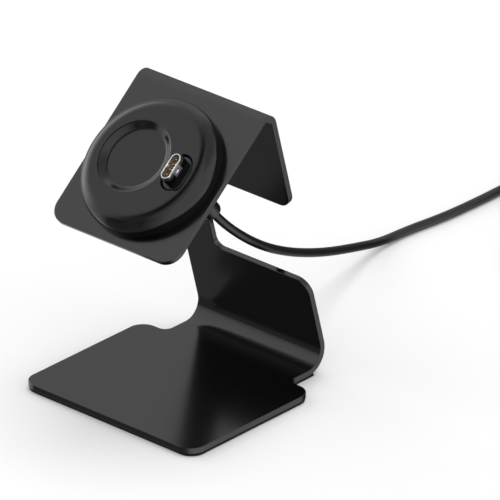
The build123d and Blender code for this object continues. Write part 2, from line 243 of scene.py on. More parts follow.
def build_mottle_group() -> Tree:
    """Makes the group for uneven colour and gloss over a surface.

    Returns:
        A group that turns a colour and a roughness into ones that drift from place to place.
    """
    sheet, given, result = new_group(
        "uneven_surface",
        {"Colour": "Color", "Roughness": "Float", "Mottle": "Float", "Spread": "Float"},
        {"Colour": "Color", "Roughness": "Float"},
    )
    place = sheet.add("TexCoord").outputs["Object"]
    cloud = sheet.noise(place, scale=45.0, detail=4.0)
    fine = sheet.noise(place, scale=420.0, detail=3.0)
    drift = sheet.math("SUBTRACT", sheet.math("ADD", cloud, fine), 1.0)
    shade = sheet.math("ADD", sheet.math("MULTIPLY", drift, given.outputs["Mottle"]), 1.0)
    tinted = sheet.add("VectorMath", {0: given.outputs["Colour"], "Scale": shade}, operation="SCALE")
    gloss = sheet.math("MULTIPLY", drift, given.outputs["Spread"])
    rough = sheet.math("ADD", given.outputs["Roughness"], gloss)
    sheet.fill(result, {"Colour": tinted.outputs[0], "Roughness": rough})
    return sheet.tree


def build_edge_wear_and_sheen_group() -> Tree:
    """Makes the group for edges that handling has polished, with a painted sheen on them.

    Returns:
        A group that lowers the roughness where the surface turns sharply, and lightens the colour
        there, partly as wear and partly as a painted highlight along the edges.
    """
    sheet, given, result = new_group(
        "polished_edges",
        {"Colour": "Color", "Roughness": "Float", "Amount": "Float"},
        {"Colour": "Color", "Roughness": "Float"},
    )
    rounded = sheet.add("Bevel", {"Radius": 0.35 * MM}, samples=4)
    plain = sheet.add("NewGeometry")
    agree = sheet.add(
        "VectorMath", {0: rounded.outputs[0], 1: plain.outputs["Normal"]}, operation="DOT_PRODUCT"
    )
    edge = sheet.remap(agree.outputs["Value"], (0.995, 0.9), (0.0, 1.0))
    place = sheet.add("TexCoord").outputs["Object"]
    patchy = sheet.remap(sheet.noise(place, scale=260.0, detail=3.0), (0.35, 0.7), (0.3, 1.0))
    amount = sheet.math("MULTIPLY", sheet.math("MULTIPLY", edge, patchy), given.outputs["Amount"])
    # Painted sheen as well as wear: the colour is lifted along sharp edges, in patches.
    lift = sheet.math("ADD", amount, 1.0)
    worn_and_sheen_colour = sheet.add("VectorMath", {0: given.outputs["Colour"], "Scale": lift}, operation="SCALE")
    drop = sheet.math("SUBTRACT", 1.0, sheet.math("MULTIPLY", amount, 0.4))
    smoother = sheet.math("MULTIPLY", given.outputs["Roughness"], drop)
    sheet.fill(result, {"Colour": worn_and_sheen_colour.outputs[0], "Roughness": smoother})
    return sheet.tree


def build_dust_group() -> Tree:
    """Makes the group for the little dust that lies on what faces up.

    Returns:
        A group that mixes pale, matt specks into a colour and a roughness.
    """
    sheet, given, result = new_group(
        "settled_dust",
        {"Colour": "Color", "Roughness": "Float", "Amount": "Float"},
        {"Colour": "Color", "Roughness": "Float"},
    )
    place = sheet.add("TexCoord").outputs["Object"]
    up = sheet.add("SeparateXYZ", {0: sheet.add("NewGeometry").outputs["Normal"]}).outputs["Z"]
    facing = sheet.remap(up, (0.3, 0.9), (0.0, 1.0))
    specks = sheet.remap(sheet.noise(place, scale=900.0, detail=6.0), (0.5, 0.75), (0.2, 1.0))
    amount = sheet.math("MULTIPLY", sheet.math("MULTIPLY", facing, specks), given.outputs["Amount"])
    grey = (0.3, 0.29, 0.28, 1.0)
    mixed = sheet.add("Mix", {0: amount, 6: given.outputs["Colour"], 7: grey}, data_type="RGBA")
    rough = sheet.math("ADD", given.outputs["Roughness"], sheet.math("MULTIPLY", amount, 0.5))
    sheet.fill(result, {"Colour": mixed.outputs[2], "Roughness": rough})
    return sheet.tree


def satin_height(sheet: NodeSheet, place: Socket, grain: float) -> Socket:
    """Height of a blasted and anodised surface: fine round pits."""
    return sheet.noise(place, 1 / grain, 2.0)


def moulded_height(sheet: NodeSheet, place: Socket, grain: float) -> Socket:
    """Height of a surface that a spark-eroded mould leaves."""
    coarse = sheet.noise(place, 0.35 / grain, 2.0)
    return sheet.math("ADD", sheet.noise(place, 1 / grain, 4.0), sheet.math("MULTIPLY", coarse, 0.6))


def foam_height(sheet: NodeSheet, place: Socket, grain: float) -> Socket:
    """Height of cut foam rubber: open cells with thin walls."""
    cells = sheet.add("TexVoronoi", {"Vector": place, "Scale": 1 / grain}, feature="F1")
    return sheet.remap(cells.outputs["Distance"], (0.0, 0.7), (0.0, 1.0), smooth=True)


def woven_height(sheet: NodeSheet, place: Socket, grain: float) -> Socket:
    """Height of a woven strap: threads that cross, and loose fibres."""
    turn = 2 * math.pi / grain
    axes = sheet.add("SeparateXYZ", {0: place})
    waves = [
        sheet.math("SINE", sheet.math("MULTIPLY", axes.outputs[axis], turn))
        for axis in ("X", "Y", "Z")
    ]
    weave = sheet.math("MAXIMUM", sheet.math("MAXIMUM", waves[0], waves[1]), waves[2])
    return sheet.math("ADD", weave, sheet.noise(place, 3 / grain, 3.0))


def drawn_height(sheet: NodeSheet, place: Socket, grain: float) -> Socket:
    """Height of drawn or turned metal: long fine lines."""
    stretched = sheet.add("Mapping", {"Vector": place, "Scale": (0.15, 0.15, 1.0)})
    return sheet.noise(stretched.outputs[0], 1 / grain, 2.0)


def board_height(sheet: NodeSheet, place: Socket, grain: float) -> Socket:
    """Height of a circuit board's tracks under their lacquer."""
    cells = sheet.add(
        "TexVoronoi", {"Vector": place, "Scale": 1 / grain}, feature="F1", distance="CHEBYCHEV"
    )
    return sheet.remap(cells.outputs["Distance"], (0.25, 0.3), (1.0, 0.0))


HEIGHTS: dict[Texture, Callable[..., Socket]] = {
    Texture.SATIN: satin_height,
    Texture.MOULDED: moulded_height,
    Texture.FOAM: foam_height,
    Texture.WOVEN: woven_height,
    Texture.DRAWN: drawn_height,
    Texture.BOARD: board_height,
}


@dataclass
class PaintShop:
    """Makes each finish's material once, and dresses pieces in it."""

    groups: dict[str, Tree] = field(default_factory=dict)
    made: dict[str, bpy.types.Material] = field(default_factory=dict)

    def __post_init__(self) -> None:
        """Builds the shared effects."""
        self.groups = {
            "mottle": build_mottle_group(),
            # The edge effect lightens sharp edges: wear and a painted sheen.
            "edges": build_edge_wear_and_sheen_group(),
            "dust": build_dust_group(),
        }

    def effect(
        self,
        sheet: NodeSheet,
        name: str,
        before: tuple[object, object],
        **amounts: float,
    ) -> tuple[Socket, Socket]:
        """Puts a shared effect into a material.

        Args:
            sheet: the material's nodes.
            name: the effect's short name.
            before: the colour and the roughness that go in, as values or sockets.
            amounts: the effect's other inputs.

        Returns:
            The sockets of the colour and the roughness that come out.
        """
        given = {"Colour": before[0], "Roughness": before[1], **amounts}
        group = sheet.add("Group", given, node_tree=self.groups[name])
        return group.outputs["Colour"], group.outputs["Roughness"]

    def material(self, finish: Finish) -> bpy.types.Material:
        """Returns the finish's material, and makes it the first time."""
        if finish.name in self.made:
            return self.made[finish.name]
        material = bpy.data.materials.new(finish.name)
        material.use_nodes = True
        sheet = NodeSheet(material.node_tree)
        shader = material.node_tree.nodes["Principled BSDF"]
        sheet.fill(shader, {"Metallic": finish.metallic, "IOR": finish.ior})
        colour, rough = self.effect(
            sheet, "mottle", ((*finish.colour, 1.0), finish.roughness),
            Mottle=finish.mottle, Spread=finish.spread,
        )
        # Worn edges with a painted sheen: lighter colour along sharp edges.
        if finish.edge_wear_and_sheen:
            colour, rough = self.effect(sheet, "edges", (colour, rough), Amount=finish.edge_wear_and_sheen)
        if finish.dust:
            colour, rough = self.effect(sheet, "dust", (colour, rough), Amount=finish.dust)
        place = sheet.add("TexCoord").outputs["Object"]
        height = HEIGHTS[finish.texture](sheet, place, finish.grain)
        bump = sheet.add("Bump", {"Height": height, "Distance": finish.depth, "Strength": 1.0})
        sheet.fill(shader, {"Base Color": colour, "Roughness": rough, "Normal": bump.outputs[0]})
        self.made[finish.name] = material
        return material

    def dress(self, piece: Piece, finish: Finish) -> None:
        """Gives a piece its finish's material."""
        piece.data.materials.clear()
        piece.data.materials.append(self.material(finish))


class Bench:
    """The modelling operators, each with the selection it needs."""

    @staticmethod
    def clear() -> None:
        """Deselects every object."""
        bpy.ops.object.select_all(action="DESELECT")

    @staticmethod
    def pick(piece: Piece) -> None:
        """Selects one object alone and makes it the active one."""
        Bench.clear()
        piece.select_set(True)
        bpy.context.view_layer.objects.active = piece

    @staticmethod
    def name(piece: Piece, name: str) -> Piece:
        """Names an object and its mesh."""
        piece.name = name
        piece.data.name = name
        return piece

    @staticmethod
    def select(piece: Piece, kind: str, wanted: Callable[[object], bool]) -> None:
        """Selects parts of the mesh that is in edit mode.

        Args:
            piece: the object in edit mode.
            kind: "edges" or "faces".
            wanted: says of one such part whether it is selected.
        """
        modes = {"edges": "EDGE", "faces": "FACE"}
        bpy.ops.mesh.select_mode(type=modes[kind])
        bpy.ops.mesh.select_all(action="DESELECT")
        mesh = bmesh.from_edit_mesh(piece.data)
        for part in getattr(mesh, kind):
            part.select_set(bool(wanted(part)))
        bmesh.update_edit_mesh(piece.data)

    @staticmethod
    def modify(piece: Piece, kind: str, **settings: object) -> None:
        """Adds a modifier with these settings and applies it."""
        Bench.pick(piece)
        modifier = piece.modifiers.new(kind.lower(), kind)
        for name, value in settings.items():
            setattr(modifier, name, value)
        bpy.ops.object.modifier_apply(modifier=modifier.name)

    @staticmethod
    def soften(piece: Piece, width: float, segments: int = 2, angle: float = 30.0) -> None:
        """Rounds the edges that turn by more than the angle, in degrees."""
        Bench.modify(
            piece, "BEVEL", width=width, segments=segments,
            limit_method="ANGLE", angle_limit=math.radians(angle),
        )

    @staticmethod
    def box(size: tuple[float, ...], middle: tuple[float, ...]) -> Piece:
        """Makes a box of the given size round the given middle."""
        Bench.clear()
        bpy.ops.mesh.primitive_cube_add(size=1.0, location=middle)
        piece = bpy.context.object
        piece.scale = size
        bpy.ops.object.transform_apply(location=True, rotation=True, scale=True)
        return piece

    @staticmethod
    def place(piece: Piece, matrix: Matrix) -> None:
        """Moves a finished mesh to its place, and leaves the object at the origin."""
        bpy.context.view_layer.update()
        piece.data.transform(matrix @ piece.matrix_world)
        piece.matrix_world = Matrix.Identity(4)
        piece.data.update()

    @staticmethod
    def smooth(piece: Piece, angle: float = 35.0) -> None:
        """Shades the mesh smooth where it turns by less than the angle, in degrees."""
        Bench.pick(piece)
        bpy.ops.object.shade_smooth_by_angle(angle=math.radians(angle))

    @staticmethod
    def outline(points: Iterable[tuple[float, float]], height: float) -> Piece:
        """Makes a flat face from its corners and extrudes it.

        Args:
            points: the corners, counterclockwise from above.
            height: how far the face is extruded along +Z.

        Returns:
            The solid, with its foot at z = 0.
        """
        corners = list(points)
        Bench.clear()
        bpy.ops.mesh.primitive_circle_add(vertices=len(corners), radius=1.0, fill_type="NGON")
        piece = bpy.context.object
        for vertex, corner in zip(piece.data.vertices, corners):
            vertex.co = (*corner, 0.0)
        bpy.ops.object.mode_set(mode="EDIT")
        bpy.ops.mesh.select_all(action="SELECT")
        bpy.ops.mesh.extrude_region_move(TRANSFORM_OT_translate={"value": (0, 0, height)})
        bpy.ops.mesh.select_all(action="SELECT")
        bpy.ops.mesh.normals_make_consistent(inside=False)
        bpy.ops.object.mode_set(mode="OBJECT")
        return piece

    @staticmethod
    def join(pieces: list[Piece], name: str) -> Piece:
        """Joins objects into the first one and names it."""
        Bench.clear()
        for piece in pieces:
            piece.select_set(True)
        bpy.context.view_layer.objects.active = pieces[0]
        bpy.ops.object.join()
        return Bench.name(pieces[0], name)

    @staticmethod
    def cut(piece: Piece, tool: Piece) -> None:
        """Cuts the tool's shape out of the piece and deletes the tool."""
        Bench.modify(piece, "BOOLEAN", operation="DIFFERENCE", solver="EXACT", object=tool)
        bpy.data.objects.remove(tool, do_unlink=True)


def obround(long: float, wide: float, arc_steps: int) -> list[tuple[float, float]]:
    """Corners of a slot shape whose long side runs along Y.

    Args:
        long: its overall length.
        wide: its width.
        arc_steps: how many steps each round end has.

    Returns:
        The corners, counterclockwise.
    """
    radius = wide / 2
    centre = long / 2 - radius
    corners = []
    for end, start in ((centre, 0.0), (-centre, math.pi)):
        for step in range(arc_steps + 1):
            angle = start + math.pi * step / arc_steps
            corners.append((radius * math.cos(angle), end + radius * math.sin(angle)))
    return corners


def axes_along(*directions: Iterable[float]) -> Matrix:
    """The turn that makes a mesh's own X, Y and Z axes run along three directions."""
    return Matrix(directions).transposed().to_4x4()


@dataclass
class Stand:
    """The folded sheet and the foam under it."""

    pad_edge: float = 0.22 * MM
    weld_gap: float = 0.001 * MM
    flat_angle: float = math.radians(1)

    def dress(self, shop: PaintShop) -> None:
        """Finishes the sheet and puts a softened pad in the plain one's place."""
        shop.dress(frame["nodes"]["stand_sheet"], BLACK_METAL)
        pad = self.build_pad()
        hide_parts("base_pad")
        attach(pad, DOCK)
        shop.dress(pad, FOAM_PAD)
        log.info("stand: sheet and pad, %d faces in the pad", len(pad.data.polygons))

    def build_pad(self) -> Piece:
        """Copies the pad's outline and rounds its cut edges."""
        source = frame["nodes"]["base_pad"]
        pad = bpy.data.objects.new("foam_base_pad", source.data.copy())
        bpy.context.scene.collection.objects.link(pad)
        Bench.name(pad, "foam_base_pad")
        Bench.pick(pad)
        bpy.ops.object.mode_set(mode="EDIT")
        bpy.ops.mesh.select_all(action="SELECT")
        bpy.ops.mesh.remove_doubles(threshold=self.weld_gap)
        bpy.ops.mesh.dissolve_limited(angle_limit=self.flat_angle)
        bpy.ops.object.mode_set(mode="OBJECT")
        Bench.soften(pad, self.pad_edge, segments=3, angle=60)
        Bench.smooth(pad)
        return pad


@dataclass
class Puck:
    """The round moulding on the face plate, its cover and its screws."""

    screws: int = 3

    def dress(self, shop: PaintShop) -> None:
        """Finishes the moulded pieces and the screws."""
        for node in ("puck_housing", "puck_cover"):
            shop.dress(frame["nodes"][node], PUCK_PLASTIC)
        for number in range(1, self.screws + 1):
            shop.dress(frame["nodes"][f"puck_screw_{number}"], SCREW_STEEL)
        log.info("puck: housing, cover and %d screws", self.screws)


@dataclass
class ChargingPlug:
    """The plug that stands out of the puck. Its own Z axis points out of the shell's mouth.

    Depths are measured down from the shell's rim.
    """

    shell_long: float = 9.3 * MM
    shell_wide: float = 3.6 * MM
    shell_wall: float = 0.28 * MM
    shell_deep: float = 7.4 * MM
    shell_arc_steps: int = 20
    rim_round: float = 0.09 * MM
    rim_margin: float = 0.01 * MM
    latch_long: float = 2.0 * MM
    latch_high: float = 0.9 * MM
    latch_below_rim: float = 1.9 * MM
    slot_arc_steps: int = 8
    core_recess: float = 0.9 * MM
    core_edge: float = 0.06 * MM
    pin_pitch: float = 1.9 * MM
    pin_hole: float = 0.6 * MM
    pins: int = 4
    pocket_long: float = 3.3 * MM
    pocket_wide: float = 1.9 * MM
    pocket_deep: float = 0.35 * MM
    spring_wide: float = 1.15 * MM
    spring_thick: float = 0.14 * MM
    spring_lean: float = 0.3 * MM
    spring_bulge: float = 0.1 * MM
    spring_below_rim: float = 0.45 * MM
    strip_edge: float = 0.04 * MM
    tooth: float = 0.3 * MM
    tooth_thick: float = 0.14 * MM
    tooth_reach: float = 0.42 * MM
    tooth_root: float = 0.1 * MM
    tooth_place: float = 1.0 * MM
    tooth_below_rim: float = 0.18 * MM
    plate_long: float = 3.7 * MM
    plate_high: float = 3.0 * MM
    plate_thick: float = 0.1 * MM
    plate_below_rim: float = 0.25 * MM
    plate_sunk: float = 0.02 * MM

    def seat(self) -> Matrix:
        """The plug's own axes and its rim, from the record's mount.

        Returns:
            The matrix that takes a mesh from the plug's axes to the model's frame.
        """
        mounts = {mount["name"]: mount for mount in frame["record"]["mounts"]}
        mount = mounts["watch_plug"]
        out = Vector(mount["axis"]).normalized()
        across = Vector((1, 0, 0))
        along = out.cross(across)
        return Matrix.Translation(Vector(mount["pos_m"])) @ axes_along(across, along, out)

    def profile(self, wall: float = 0.0) -> list[tuple[float, float]]:
        """Corners of the shell's outside, or of what is inside a wall."""
        return obround(self.shell_long - 2 * wall, self.shell_wide - 2 * wall, self.shell_arc_steps)

    def build_window(self, deep: float) -> Piece:
        """Models what cuts a latch window, as a prism that still stands upright."""
        return Bench.outline(obround(self.latch_long, self.latch_high, self.slot_arc_steps), deep)

    def build_shell(self) -> Piece:
        """Models the drawn shell: an obround tube with a rolled rim and two latch windows."""
        shell = Bench.outline(self.profile(), self.shell_deep)
        inner = Bench.outline(self.profile(self.shell_wall), 3 * self.shell_deep)
        inner.location.z = -self.shell_deep
        Bench.cut(shell, inner)
        window = self.build_window(3 * self.shell_wide)
        window.rotation_euler = (0, math.radians(90), 0)
        window.location = (-1.5 * self.shell_wide, 0, self.shell_deep - self.latch_below_rim)
        Bench.cut(shell, window)
        Bench.pick(shell)
        bpy.ops.object.mode_set(mode="EDIT")
        top = self.shell_deep - self.rim_margin
        Bench.select(
            shell, "edges",
            lambda edge: all(v.co.z > top for v in edge.verts)
            and any(abs(face.normal.z) < 0.5 for face in edge.link_faces),
        )
        bpy.ops.mesh.bevel(offset=self.rim_round, segments=4)
        bpy.ops.mesh.select_all(action="SELECT")
        bpy.ops.transform.translate(value=(0, 0, -self.shell_deep))
        bpy.ops.object.mode_set(mode="OBJECT")
        return shell

    def build_spring(self, side: int) -> Piece:
        """Models one latch spring inside the shell.

        Args:
            side: 1 for the wall at +X, -1 for the wall at -X.

        Returns:
            A bent strip that leans out of its window.
        """
        wall = self.shell_wide / 2 - self.shell_wall
        line = [
            (wall - self.spring_lean, -self.spring_below_rim),
            (wall + self.spring_bulge, -self.latch_below_rim),
            (wall - self.spring_thick, -self.shell_deep / 2),
        ]
        corners = line + [(x - self.spring_thick, z) for x, z in reversed(line)]
        spring = Bench.outline(corners, self.spring_wide)
        spring.rotation_euler = (math.radians(90), 0, 0)
        spring.location = (0, self.spring_wide / 2, 0)
        Bench.place(spring, Matrix.Identity(4))
        if side < 0:
            Bench.place(spring, Matrix.Rotation(math.pi, 4, "Z"))
        Bench.soften(spring, self.strip_edge)
        return spring

    def build_tooth(self, end: int) -> Piece:
        """Models one of the two teeth that hold the shell's folded seam, inside the rim."""
        wall = self.shell_wide / 2 - self.shell_wall
        x = wall - self.tooth_reach / 2 + self.tooth_root
        tooth = Bench.box(
            (self.tooth_reach + 2 * self.tooth_root, self.tooth, self.tooth_thick),
            (x, end * self.tooth_place, -self.tooth_below_rim),
        )
        Bench.soften(tooth, self.strip_edge)
        return tooth

    def build_latch_plate(self) -> Piece:
        """Models the grey plate round the latch window on the shell's outer side."""
        inner_side = self.shell_wide / 2 - self.plate_sunk
        plate = Bench.box(
            (self.plate_thick, self.plate_long, self.plate_high),
            (inner_side + self.plate_thick / 2, 0, -self.plate_below_rim - self.plate_high / 2),
        )
        Bench.soften(plate, self.strip_edge)
        window = self.build_window(2 * self.shell_wide)
        lower = Matrix.Translation((0, 0, -self.latch_below_rim))
        Bench.place(window, lower @ Matrix.Rotation(math.radians(90), 4, "Y"))
        Bench.cut(plate, window)
        return Bench.name(plate, "latch_plate")

    def build_core(self) -> Piece:
        """Models the resin core with a pocket round each pair of pins."""
        core = Bench.outline(self.profile(self.shell_wall), self.shell_deep - self.core_recess)
        Bench.place(core, Matrix.Translation((0, 0, -self.shell_deep)))
        for end in (-1, 1):
            outline = obround(self.pocket_long, self.pocket_wide, self.slot_arc_steps)
            pocket = Bench.outline(outline, 2 * self.pocket_deep)
            pocket.location = (0, end * self.pin_pitch, -self.core_recess - self.pocket_deep)
            Bench.cut(core, pocket)
        for index in range(self.pins):
            Bench.clear()
            bpy.ops.mesh.primitive_cylinder_add(
                vertices=24, radius=self.pin_hole, depth=2 * self.shell_deep,
                location=(0, (index - (self.pins - 1) / 2) * self.pin_pitch, -self.core_recess),
            )
            Bench.cut(core, bpy.context.object)
        Bench.soften(core, self.core_edge, angle=50)
        return core

    def dress(self, shop: PaintShop) -> None:
        """Builds the shell and the core, and finishes every piece of the plug."""
        seat = self.seat()
        shell = Bench.join(
            [
                self.build_shell(),
                *[self.build_spring(side) for side in (1, -1)],
                *[self.build_tooth(end) for end in (1, -1)],
            ],
            "drawn_plug_shell",
        )
        plate = self.build_latch_plate()
        Bench.place(plate, seat)
        Bench.smooth(plate, 30)
        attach(plate, DOCK)
        shop.dress(plate, LATCH_PLATE)
        core = Bench.name(self.build_core(), "resin_plug_core")
        for piece, node, finish in (
            (shell, "plug_shell", PLATED_SHELL),
            (core, "plug_insulator", PLUG_CORE),
        ):
            Bench.place(piece, seat)
            Bench.smooth(piece, 30)
            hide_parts(node)
            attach(piece, DOCK)
            shop.dress(piece, finish)
        shop.dress(frame["nodes"]["plug_body"], PLUG_MOULDING)
        shop.dress(frame["nodes"]["plug_board"], CIRCUIT_BOARD)
        shop.dress(frame["nodes"]["strain_relief"], CORD_JACKET)
        for number in range(1, self.pins + 1):
            shop.dress(frame["nodes"][f"contact_pin_{number}"], GOLD_CONTACT)
        faces = [len(piece.data.polygons) for piece in (shell, core)]
        log.info("charging plug: shell %d faces, core %d faces", *faces)


@dataclass
class SupplyPlug:
    """The plug at the cord's far end, lying flat with its mouth to the front."""

    long: float = 26.0 * MM
    wide: float = 15.0 * MM
    thick: float = 8.0 * MM
    corner: float = 2.2 * MM
    neck_long: float = 6.0 * MM
    neck_radius: float = 2.6 * MM
    neck_end_radius: float = 2.1 * MM
    neck_rings: int = 3
    ring_radius: float = 0.42 * MM
    ring_out: float = 0.1 * MM
    grip_ribs: int = 5
    rib_pitch: float = 1.9 * MM
    rib_radius: float = 0.55 * MM
    rib_long: float = 8.25 * MM
    rib_deep: float = 0.35 * MM
    shell_long: float = 12.0 * MM
    shell_wide: float = 12.0 * MM
    shell_thick: float = 4.5 * MM
    shell_wall: float = 0.3 * MM
    shell_corner: float = 0.6 * MM
    bore_corner: float = 0.35 * MM
    shell_edge: float = 0.06 * MM
    window: float = 2.2 * MM
    window_from_rim: float = 4.2 * MM
    window_spacing: float = 5.0 * MM

    def seat(self) -> Matrix:
        """The plug's own axes, from the node's box. Z runs from the cord to the mouth.

        Returns:
            The matrix that takes a mesh from those axes to the model's frame.
        """
        low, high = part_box("usb_body")
        start = Vector(((low.x + high.x) / 2, high.y - self.neck_long, (low.z + high.z) / 2))
        return Matrix.Translation(start) @ axes_along((1, 0, 0), (0, 0, 1), (0, -1, 0))

    def build_body(self) -> Piece:
        """Models the moulded grip with cross grooves and a ringed neck."""
        grip = Bench.box((self.wide, self.thick, self.long), (0, 0, self.long / 2))
        Bench.soften(grip, self.corner, segments=5)
        for side in (-1, 1):
            for index in range(self.grip_ribs):
                Bench.clear()
                bpy.ops.mesh.primitive_cylinder_add(
                    vertices=20, radius=self.rib_radius, depth=self.rib_long,
                    location=(
                        0,
                        side * (self.thick / 2 + self.rib_radius - self.rib_deep),
                        self.long / 2 + (index - (self.grip_ribs - 1) / 2) * self.rib_pitch,
                    ),
                    rotation=(0, math.radians(90), 0),
                )
                Bench.cut(grip, bpy.context.object)
        return Bench.join([grip, self.build_neck()], "supply_plug_body")

    def build_neck(self) -> Piece:
        """Models the tapered neck, grooved all round."""
        Bench.clear()
        bpy.ops.mesh.primitive_cone_add(
            vertices=40, radius1=self.neck_end_radius, radius2=self.neck_radius,
            depth=self.neck_long + self.corner,
            location=(0, 0, (self.corner - self.neck_long) / 2),
        )
        neck = bpy.context.object
        pitch = self.neck_long / (self.neck_rings + 1)
        for index in range(1, self.neck_rings + 1):
            Bench.clear()
            bpy.ops.mesh.primitive_torus_add(
                major_radius=self.neck_radius + self.ring_out, minor_radius=self.ring_radius,
                major_segments=40, minor_segments=12,
                location=(0, 0, -self.neck_long + index * pitch),
            )
            Bench.cut(neck, bpy.context.object)
        return neck

    def build_shell(self) -> Piece:
        """Models the folded shell: a box with rounded corners, an open mouth and four windows."""
        shells = []
        for trim, corner in ((0.0, self.shell_corner), (self.shell_wall, self.bore_corner)):
            size = (self.shell_wide - 2 * trim, self.shell_thick - 2 * trim, self.shell_long + 2 * trim)
            block = Bench.box(size, (0, 0, self.shell_long / 2 + 2 * trim))
            Bench.pick(block)
            bpy.ops.object.mode_set(mode="EDIT")
            Bench.select(block, "edges", lambda edge: abs(edge.verts[0].co.z - edge.verts[1].co.z) > MM)
            bpy.ops.mesh.bevel(offset=corner, segments=5)
            bpy.ops.object.mode_set(mode="OBJECT")
            shells.append(block)
        shell, hollow = shells
        Bench.cut(shell, hollow)
        for x in (-self.window_spacing / 2, self.window_spacing / 2):
            size = (self.window, 3 * self.shell_thick, self.window)
            Bench.cut(shell, Bench.box(size, (x, 0, self.shell_long - self.window_from_rim)))
        Bench.soften(shell, self.shell_edge, angle=50)
        Bench.place(shell, Matrix.Translation((0, 0, self.long)))
        return Bench.name(shell, "supply_plug_shell")

    def dress(self, shop: PaintShop) -> list[Piece]:
        """Builds and finishes the plug.

        Returns:
            The pieces that lie on the cord's end.
        """
        seat = self.seat()
        pieces = []
        for piece, node, finish in (
            (self.build_body(), "usb_body", PLUG_MOULDING),
            (self.build_shell(), "usb_shell", PLATED_SHELL),
        ):
            Bench.place(piece, seat)
            Bench.smooth(piece, 35)
            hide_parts(node)
            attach(piece, DOCK)
            shop.dress(piece, finish)
            pieces.append(piece)
        for node, finish in (("usb_tongue", PLUG_CORE), ("usb_contacts", GOLD_CONTACT)):
            shop.dress(frame["nodes"][node], finish)
            pieces.append(frame["nodes"][node])
        log.info("supply plug: %d pieces", len(pieces))
        return pieces


